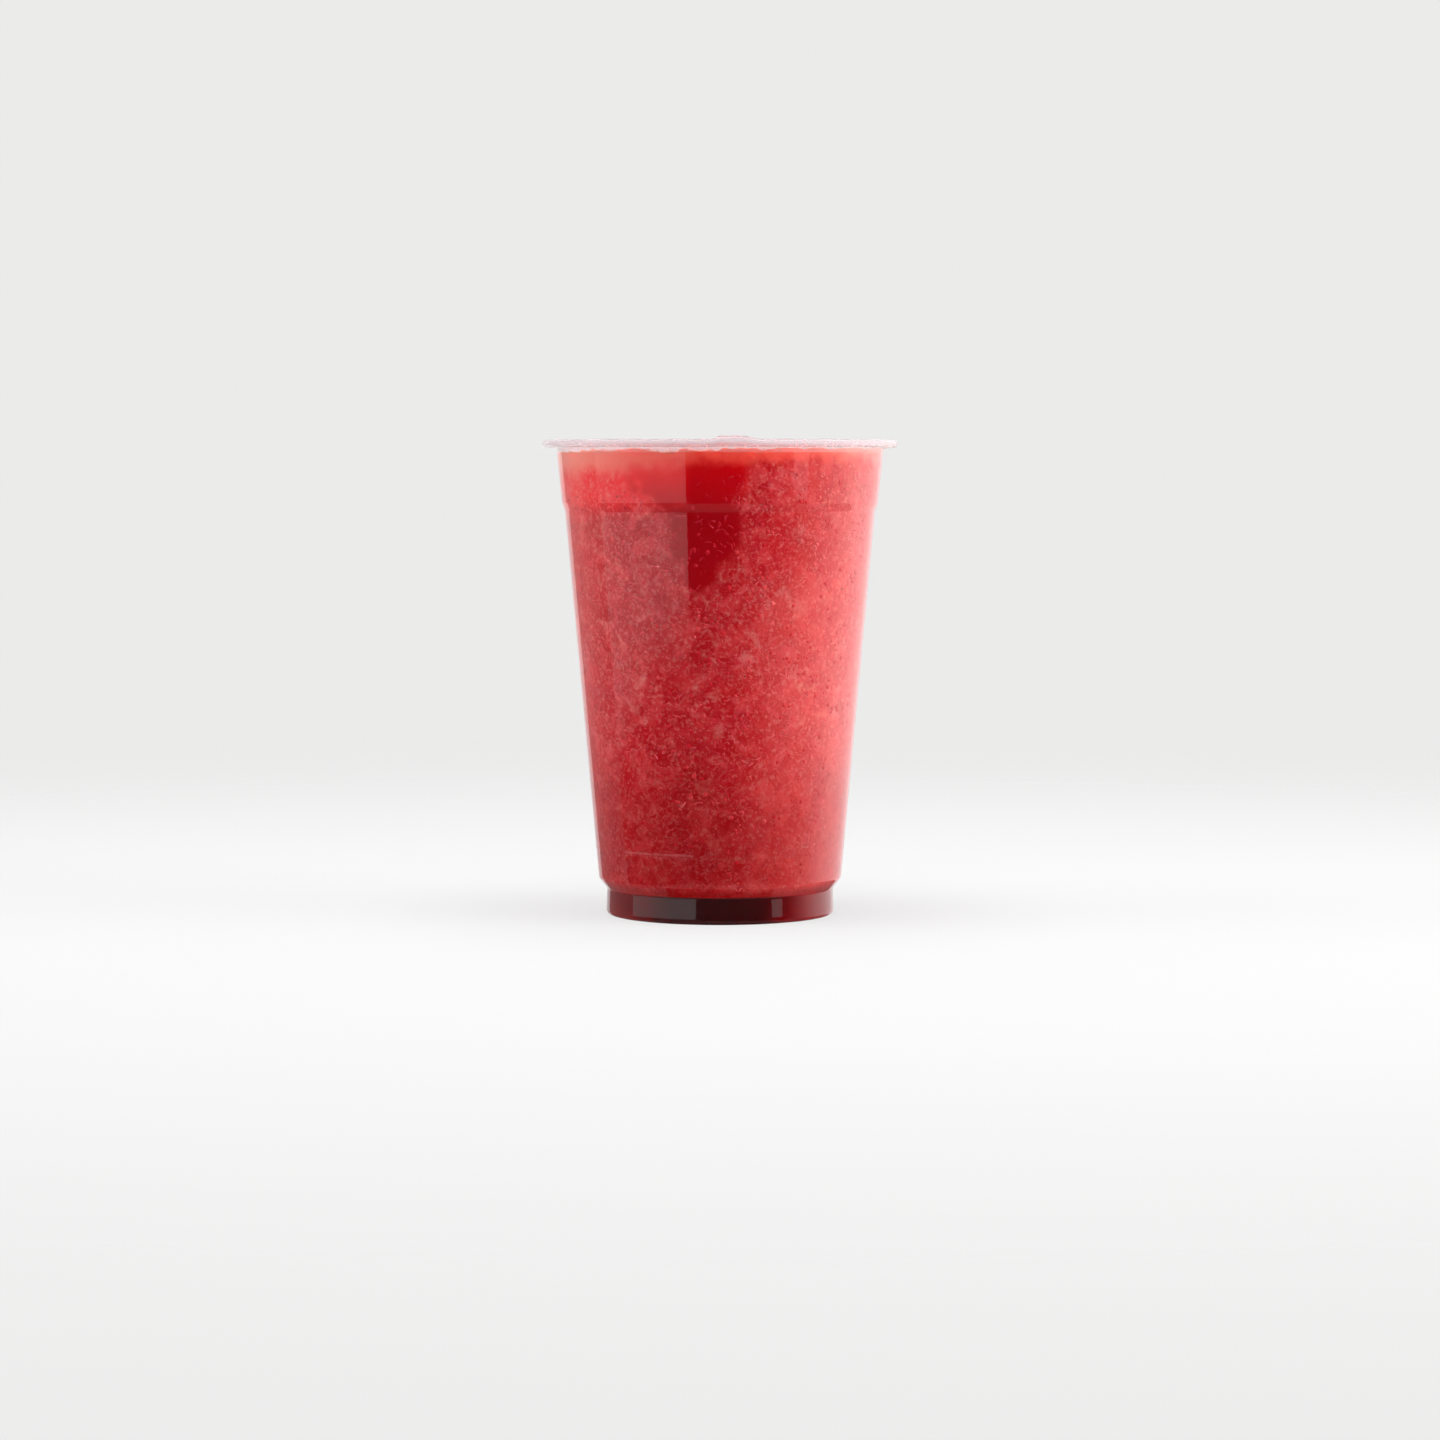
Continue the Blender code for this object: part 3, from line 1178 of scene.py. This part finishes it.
@dataclass
class Pulp:
    """Curls of pulp, chips of ice and dark bits that lie against the wall."""

    drink: Drink
    seed: int = 20
    fibres: tuple[Fibre, ...] = (
        Fibre(1.9 * MM, 0.58 * MM, 30, 4, 1700),
        Fibre(2.2 * MM, 0.50 * MM, 95, 6, 1300),
    )
    curls: tuple[Fibre, ...] = (
        Fibre(2.0 * MM, 0.44 * MM, 190, 8, 450),
        Fibre(1.1 * MM, 0.60 * MM, 20, 3, 2700),
    )
    chips: int = 3000
    chip_kinds: int = 3
    chip_width: tuple[float, float] = (0.6 * MM, 1.9 * MM)
    chip_power: float = 0.45
    bits: int = 70
    sink: float = 0.012 * MM
    fibre_flatness: float = 0.09
    chip_thickness: float = 0.07 * MM
    bit_thickness: float = 0.08 * MM
    fibre_spread: tuple[float, float] = (0.6, 1.25)
    fibre_uneven: tuple[float, float] = (0.85, 1.15)
    fibre_lean: float = 0.03
    chip_lean: float = 0.02
    bit_width: tuple[float, float] = (0.25 * MM, 0.75 * MM)
    clump_size: float = 6.5 * MM
    usual_crowd: float = 0.62
    clump_crowd: float = 0.75
    least_crowd: float = 0.12
    pocket_edge: Fade = Fade(0.62, 1.12)
    floor_fade: Fade = Fade(105 * MM, 111 * MM, 1.0, 0.2)
    brim_fade: Fade = Fade(117 * MM, 122 * MM, 1.0, 0.0)
    brim_lower: Fade = Fade(-34 * MM, 6 * MM, 8.5 * MM, 0.0)

    def __post_init__(self) -> None:
        """Read the wall that everything here lies against."""
        self.rng = np.random.default_rng(self.seed)
        self.wall = WallSurface.of(self.drink.face, self.drink.juice_level, self.drink.slush_level)

    def places(self, wanted: int, spare: float, floor: float) -> tuple[np.ndarray, np.ndarray]:
        """Draw places on the wall, few in the pockets and crowded in clumps elsewhere.

        Args:
            wanted: How many places.
            spare: Least distance below the surface and above the settled juice.
            floor: Share of the usual crowd that is left inside a pocket.

        Returns:
            The points, and the matrices that turn a template onto the wall there.
        """
        kept_points, kept_frames = [], []
        low, high = self.drink.juice_level + spare, self.drink.slush_level - spare
        have = 0
        while have < wanted:
            azimuth = self.rng.uniform(-math.pi, math.pi, wanted)
            height = self.rng.uniform(low, high, wanted)
            chance = self.rng.uniform(0, 1, wanted)
            points, frames = self.wall.frames(azimuth, height)
            nearest = np.min([pocket.distance(points) for pocket in POCKETS], axis=0)
            clump = np.array([noise.noise(Vector(point) / self.clump_size) for point in points])
            crowd = np.clip(self.usual_crowd + self.clump_crowd * clump, self.least_crowd, 1)
            left_over = floor * self.floor_fade.straight(height)
            crowd *= left_over + (1 - left_over) * self.pocket_edge.straight(nearest)
            crowd *= self.brim_fade.straight(height + self.brim_lower.straight(points[:, 0]))
            wide = np.interp(height, self.wall.heights, self.wall.radii) / self.wall.radii.max()
            keep = chance < crowd * wide
            kept_points.append(points[keep])
            kept_frames.append(frames[keep])
            have += int(keep.sum())
        return np.concatenate(kept_points)[:wanted], np.concatenate(kept_frames)[:wanted]

    def turns(self, frames: np.ndarray, sizes: np.ndarray, lean: float) -> np.ndarray:
        """Turn and size copies on the wall.

        Args:
            frames: The wall's own matrices.
            sizes: Sizes along, across and out, one row for each copy.
            lean: Largest tilt out of the wall, in radians.

        Returns:
            One matrix for each copy.
        """
        spin = self.rng.uniform(0, math.tau, len(frames))
        tip = self.rng.uniform(-lean, lean, len(frames))
        return frames @ turns_about("Z", spin) @ turns_about("Y", tip) * sizes[:, None, :]

    def build_fibres(self, name: str, kinds: Sequence[Fibre], finish: FleckFinish) -> bpy.types.Object:
        """Scatter some kinds of fibre on the wall as one piece.

        Args:
            name: The piece's name.
            kinds: The kinds of fibre.
            finish: Their finish.

        Returns:
            The piece.
        """
        scatter = Scatter(name)
        for kind in kinds:
            points, frames = self.places(kind.count, spare=0.5 * MM, floor=0.55)
            size = self.rng.uniform(*self.fibre_spread, (kind.count, 1))
            size = size * self.rng.uniform(*self.fibre_uneven, (kind.count, 3))
            size[:, 2] = self.fibre_flatness
            flip = self.rng.choice([-1.0, 1.0], kind.count)
            size[:, 1] *= flip
            size[:, 0] *= flip
            points = points - frames[:, :, 2] * self.sink
            scatter.add(kind.template(), points, self.turns(frames, size, self.fibre_lean))
        piece = scatter.joined(rounded=True)
        piece.data.materials.append(finish.make())
        return self.carried(piece)

    def build_chips(self) -> bpy.types.Object:
        """Scatter flat chips of ice on the wall.

        Returns:
            The chips.
        """
        scatter = Scatter("ice_chips_at_wall")
        low, high = self.chip_width
        count = self.chips // self.chip_kinds
        for _ in range(self.chip_kinds):
            points, frames = self.places(count, spare=0.9 * MM, floor=0.35)
            width = low + (high - low) * self.rng.power(self.chip_power, count)
            size = uneven(self.rng, width, 0.6)
            size[:, 2] = self.chip_thickness
            points = points - frames[:, :, 2] * self.sink
            scatter.add(chip_template(self.rng), points, self.turns(frames, size, self.chip_lean))
        piece = scatter.joined(rounded=True)
        piece.data.materials.append(FleckFinish(
            "ice_behind_wall", deep=(0.58, 0.008, 0.017), close=(0.86, 0.072, 0.078)).make())
        return self.carried(piece)

    def build_bits(self) -> bpy.types.Object:
        """Scatter the dark bits.

        Returns:
            The bits.
        """
        points, frames = self.places(self.bits, spare=1.5 * MM, floor=0.5)
        size = uneven(self.rng, self.rng.uniform(*self.bit_width, self.bits), 0.5)
        size[:, 2] = self.bit_thickness
        scatter = Scatter("dark_pulp_bits")
        scatter.add(chip_template(self.rng), points, self.turns(frames, size, self.chip_lean))
        piece = scatter.joined(rounded=True)
        piece.data.materials.append(DarkBits().make())
        return self.carried(piece)

    def carried(self, piece: bpy.types.Object) -> bpy.types.Object:
        """Let a piece ride with the cup, without a shadow on the slush behind it.

        Args:
            piece: The piece.

        Returns:
            The same piece.
        """
        piece.visible_shadow = False
        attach(piece, BODY)
        return piece


@dataclass
class IcyTop:
    """Crushed ice and shreds of pulp that stand out of the drink's surface."""

    drink: Drink
    seed: int = 31
    chips: int = 4600
    chip_kinds: int = 4
    chip_width: tuple[float, float] = (0.5 * MM, 2.3 * MM)
    chip_power: float = 0.5
    chip_sink: float = 0.16
    chip_margin: float = 1.3 * MM
    edge_chips: int = 1100
    edge_width: tuple[float, float] = (0.35 * MM, 0.95 * MM)
    edge_band: float = 1.7 * MM
    edge_margin: float = 0.55 * MM
    crumbs: int = 900
    crumb_height: float = 1.5 * MM
    crumb_top: float = 125.9 * MM
    wall_top: float = 126.0 * MM
    crumb_sink: float = 0.08 * MM
    crumb_width: tuple[float, float] = (0.25 * MM, 0.6 * MM)
    crumb_flatness: float = 0.6
    fibre_margin: float = 2.0 * MM
    fibre_spread: tuple[float, float] = (0.7, 1.3)
    fibres: tuple[Fibre, ...] = (
        Fibre(2.4 * MM, 0.30 * MM, 60, 5, 900),
        Fibre(1.1 * MM, 0.34 * MM, 30, 3, 1300),
    )

    def __post_init__(self) -> None:
        """Read how wide the surface is."""
        self.rng = np.random.default_rng(self.seed)
        self.radius = self.drink.brim_radius
        inner = self.drink.form.outer_face().moved_in(self.drink.form.sheet)
        self.inner_wall = WallSurface.of(inner, self.drink.slush_level, self.wall_top)

    def spots(self, count: int, inner: float, outer: float) -> np.ndarray:
        """Points on the uneven surface, evenly spread.

        Args:
            count: How many.
            inner: Least distance from the axis.
            outer: Largest distance from it.

        Returns:
            The points.
        """
        radius = np.sqrt(self.rng.uniform(inner ** 2, outer ** 2, count))
        azimuth = self.rng.uniform(0, math.tau, count)
        x, y = radius * np.sin(azimuth), -radius * np.cos(azimuth)
        z = [self.drink.surface_height(a, b) for a, b in zip(x, y)]
        return np.stack([x, y, np.array(z)], axis=1)

    def turned(self, count: int) -> np.ndarray:
        """Random turns in space, one matrix each."""
        turns = np.linalg.qr(self.rng.normal(size=(count, 3, 3)))[0]
        return turns * np.sign(np.linalg.det(turns))[:, None, None]

    def build_chips(self) -> bpy.types.Object:
        """Scatter chips over the surface, with smaller ones crowded along the wall.

        Returns:
            The chips and the crumbs above them.
        """
        scatter = Scatter("ice_on_top")
        low, high = self.chip_width
        count = self.chips // self.chip_kinds
        for _ in range(self.chip_kinds):
            width = low + (high - low) * self.rng.power(self.chip_power, count)
            places = self.spots(count, 0, self.radius - self.chip_margin)
            places[:, 2] -= width * self.chip_sink
            self.add_chips(scatter, places, uneven(self.rng, width, 0.55))
        width = self.rng.uniform(*self.edge_width, self.edge_chips)
        places = self.spots(
            self.edge_chips, self.radius - self.edge_band, self.radius - self.edge_margin)
        self.add_chips(scatter, places, uneven(self.rng, width, 0.6))
        self.add_crumbs(scatter)
        piece = scatter.joined(rounded=False)
        piece.data.materials.append(FleckFinish(
            "ice_of_top", deep=(0.90, 0.30, 0.25), close=(0.96, 0.60, 0.55), roughness=0.18, gloss=0.5,
            soak=1.5 * MM, frost=0.0).make())
        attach(piece, BODY)
        return piece

    def add_chips(self, scatter: Scatter, places: np.ndarray, sizes: np.ndarray) -> None:
        """Add chips of one kind, each turned at random.

        Args:
            scatter: What takes them.
            places: Their middles.
            sizes: Their sizes along three axes.
        """
        chip = chip_template(self.rng)
        scatter.add(chip, places, self.turned(len(places)) * sizes[:, None, :])

    def add_crumbs(self, scatter: Scatter) -> None:
        """Add crumbs of ice that cling to the wall just above the surface, fewer higher up.

        Args:
            scatter: What takes them.
        """
        count = self.crumbs
        azimuth = self.rng.uniform(-math.pi, math.pi, count)
        above = self.crumb_height * self.rng.uniform(0, 1, count) ** 2
        x, y = self.radius * np.sin(azimuth), -self.radius * np.cos(azimuth)
        level = np.array([self.drink.surface_height(a, b) for a, b in zip(x, y)])
        points, frames = self.inner_wall.frames(azimuth, np.minimum(level + above, self.crumb_top))
        size = uneven(self.rng, self.rng.uniform(*self.crumb_width, count), 0.6)
        size[:, 2] *= self.crumb_flatness
        points = points - frames[:, :, 2] * self.crumb_sink
        scatter.add(chip_template(self.rng), points, frames * size[:, None, :])

    def build_fibres(self) -> bpy.types.Object:
        """Scatter shreds of pulp over the surface.

        Returns:
            The shreds.
        """
        scatter = Scatter("pulp_on_top")
        for kind in self.fibres:
            places = self.spots(kind.count, 0, self.radius - self.fibre_margin)
            spin = self.rng.uniform(0, math.tau, kind.count)
            size = self.rng.uniform(*self.fibre_spread, kind.count)
            scatter.add(kind.template(), places, turns_about("Z", spin) * size[:, None, None])
        piece = scatter.joined(rounded=True)
        piece.data.materials.append(FleckFinish(
            "pulp_of_top", deep=(0.70, 0.10, 0.09), close=(0.86, 0.34, 0.30), roughness=0.25, gloss=0.5,
            frost=0.0).make())
        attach(piece, BODY)
        return piece


# Studio


@dataclass(frozen=True)
class Panel:
    """A curved light panel that stands on a circle round the cup, by azimuth and elevation in degrees.

    It brightens over the height `fade` at its foot and, where `rise` is given, between two values of Y.
    """

    name: str
    azimuth: tuple[float, float]
    elevation: tuple[float, float]
    radiance: float
    fade: float = 0.02
    rise: tuple[float, float] | None = None
    distance: float = 1.4
    eye: float = 0.08
    steps: int = 24

    def build(self) -> None:
        """Make a glowing sheet that only reflections show, dim at its lower edge."""
        shape = bmesh.new()
        low, high = (self.eye + self.distance * math.tan(math.radians(rise)) for rise in self.elevation)
        start, end = (math.radians(turn - 90) for turn in self.azimuth)
        foot = Vector((math.cos(start), math.sin(start), 0)) * self.distance
        ends = [shape.verts.new(foot + Vector((0, 0, height))) for height in (low, high)]
        shape.edges.new(ends)
        swept(shape, end - start, self.steps)
        panel = finished(self.name, shape, sharp=None)
        material, graph = new_material(self.name)
        strength = graph.faded(graph.along("Z"), Fade(low, low + self.fade, 0.0, self.radiance))
        if self.rise is not None:
            strength = graph.times(strength, graph.faded(graph.along("Y"), Fade(*self.rise)))
        graph.finish(graph.add("Emission", {"Color": (1.0, 1.0, 1.0), "Strength": strength}))
        panel.data.materials.append(material)
        panel.visible_camera = panel.visible_diffuse = panel.visible_shadow = False
        panel.visible_transmission = panel.visible_volume_scatter = False


@dataclass(frozen=True)
class SoftLight:
    """A square softbox that points at the cup and shows in no reflection."""

    name: str
    azimuth: float
    elevation: float
    distance: float
    side: float
    radiance: float

    def build(self, aim: Vector) -> None:
        """Make the light, facing a point.

        Args:
            aim: The point it faces.
        """
        data = bpy.data.lights.new(self.name, "AREA")
        data.shape = "SQUARE"
        data.size = self.side
        data.energy = self.radiance * math.pi * self.side ** 2
        turn, rise = math.radians(self.azimuth), math.radians(self.elevation)
        way = Vector((math.sin(turn) * math.cos(rise), -math.cos(turn) * math.cos(rise), math.sin(rise)))
        light = bpy.data.objects.new(self.name, data)
        light.location = aim + way * self.distance
        light.rotation_euler = way.to_track_quat("Z", "Y").to_euler()
        light.visible_camera = light.visible_glossy = light.visible_transmission = False
        bpy.context.scene.collection.objects.link(light)


@dataclass
class Studio:
    """Pale floor, pale surroundings, soft lights and the camera."""

    camera_distance: float = 1.050
    camera_height: float = 119.6 * MM
    camera_pitch: float = 3.684
    lens: float = 97.86
    sensor: float = 36.0
    clip: tuple[float, float] = (0.05, 20.0)
    floor_radius: float = 1.6
    floor_steps: int = 96
    floor_fade: Fade = Fade(0.16, 0.75)
    floor_colour: Colour = (0.36, 0.36, 0.36)
    floor_glow: Colour = (0.47, 0.47, 0.47)
    backdrop: Colour = (0.83, 0.83, 0.825)
    fill: Fade = Fade(-0.7, 0.5, 0.12, 0.40)
    aim: tuple[float, float, float] = (0.0, 0.0, 0.07)
    panels: tuple[Panel, ...] = (
        Panel("left_panel", (-98, -24), (-13.3, 35), 0.74, fade=0.079),
        Panel("narrow_panel", (53, 65), (-9, 8), 0.75),
        Panel("right_panel", (66, 165), (-20, 60), 1.2, rise=(-0.56, 0.75)),
        Panel("back_panel", (165, 210), (-20, 60), 0.85),
        Panel("left_rear_panel", (210, 262), (-20, 60), 0.25),
        Panel("floor_panel", (0, 360), (-62, -20), 0.2),
        Panel("ceiling_panel", (0, 360), (48, 78), 0.9),
    )
    lights: tuple[SoftLight, ...] = (
        SoftLight("top_softbox", 0, 86, 1.3, 1.1, 4.4),
        SoftLight("right_softbox", 76, 13, 1.1, 0.7, 7.2),
        SoftLight("left_softbox", -85, 16, 1.2, 0.7, 4.3),
    )

    def build(self) -> None:
        """Set up everything round the cup."""
        self.build_floor()
        self.build_world()
        for panel in self.panels:
            panel.build()
        for light in self.lights:
            light.build(Vector(self.aim))
        self.build_camera()

    def build_floor(self) -> None:
        """A matt pale floor, lit a little from below, that fades out and shows in no reflection."""
        shape = bmesh.new()
        bmesh.ops.create_circle(
            shape, cap_ends=True, segments=self.floor_steps, radius=self.floor_radius)
        floor = finished("floor", shape, sharp=None)
        material, graph = new_material("pale_floor")
        gone = graph.faded(graph.vector("LENGTH", graph.place()), self.floor_fade)
        matt = graph.add("BsdfDiffuse", {"Color": self.floor_colour})
        glow = graph.add("Emission", {"Color": self.floor_glow, "Strength": 1.0})
        lit = graph.add("AddShader", {0: matt.outputs[0], 1: glow.outputs[0]})
        clear = graph.add("BsdfTransparent")
        graph.finish(graph.add("MixShader", {0: gone, 1: lit.outputs[0], 2: clear.outputs[0]}))
        floor.data.materials.append(material)
        floor.visible_glossy = False

    def build_world(self) -> None:
        """Pale surroundings for the camera and through the plastic, a soft fill on matt surfaces."""
        world = bpy.data.worlds.new("studio")
        bpy.context.scene.world = world
        world.use_nodes = True
        graph = Graph(world.node_tree)
        path = graph.add("LightPath")
        shown = graph.math("MAXIMUM", path.outputs["Is Camera Ray"], path.outputs["Is Transmission Ray"])
        way = graph.add("TexCoord").outputs["Generated"]
        back = graph.add("SeparateXYZ", {0: way}).outputs["Y"]
        fill = graph.times(path.outputs["Is Diffuse Ray"], graph.faded(back, self.fill))
        pale = graph.add("Background", {"Color": self.backdrop, "Strength": 1.0})
        soft = graph.add("Background", {"Color": (1.0, 1.0, 1.0), "Strength": fill})
        mixed = graph.add("MixShader", {0: shown, 1: soft.outputs[0], 2: pale.outputs[0]})
        graph.add("OutputWorld", {"Surface": mixed.outputs[0]})
        world.cycles.sampling_method = "NONE"

    def build_camera(self) -> None:
        """The photograph's viewpoint: just under the rim's level, looking slightly down."""
        data = bpy.data.cameras.new("camera")
        data.lens = self.lens
        data.sensor_width = self.sensor
        data.clip_start, data.clip_end = self.clip
        camera = bpy.data.objects.new("camera", data)
        camera.location = (0, -self.camera_distance, self.camera_height)
        camera.rotation_euler = (math.radians(90 - self.camera_pitch), 0, 0)
        bpy.context.scene.collection.objects.link(camera)
        bpy.context.scene.camera = camera


def report(piece: bpy.types.Object) -> None:
    """Log a piece's name and its number of faces."""
    log.info("%s: %d faces", piece.name, len(piece.data.polygons))


def main() -> None:
    """Build every piece and the studio."""
    logging.basicConfig(level=logging.INFO, format="%(message)s")
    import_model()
    bpy.context.scene.view_settings.view_transform = "Standard"

    drink = Drink()
    report(Cup().build())
    report(drink.build_slush())
    report(drink.build_juice())
    pulp = Pulp(drink)
    report(pulp.build_fibres("pulp_fibres", pulp.fibres, FleckFinish(
        "pulp_behind_wall", deep=(0.58, 0.008, 0.018), close=(0.88, 0.076, 0.082))))
    report(pulp.build_fibres("pulp_curls", pulp.curls, FleckFinish(
        "pulp_curls_behind_wall", deep=(0.58, 0.008, 0.018), close=(0.88, 0.086, 0.090))))
    report(pulp.build_chips())
    report(pulp.build_bits())
    top = IcyTop(drink)
    report(top.build_chips())
    report(top.build_fibres())
    Studio().build()


if __name__ == "__main__":
    main()
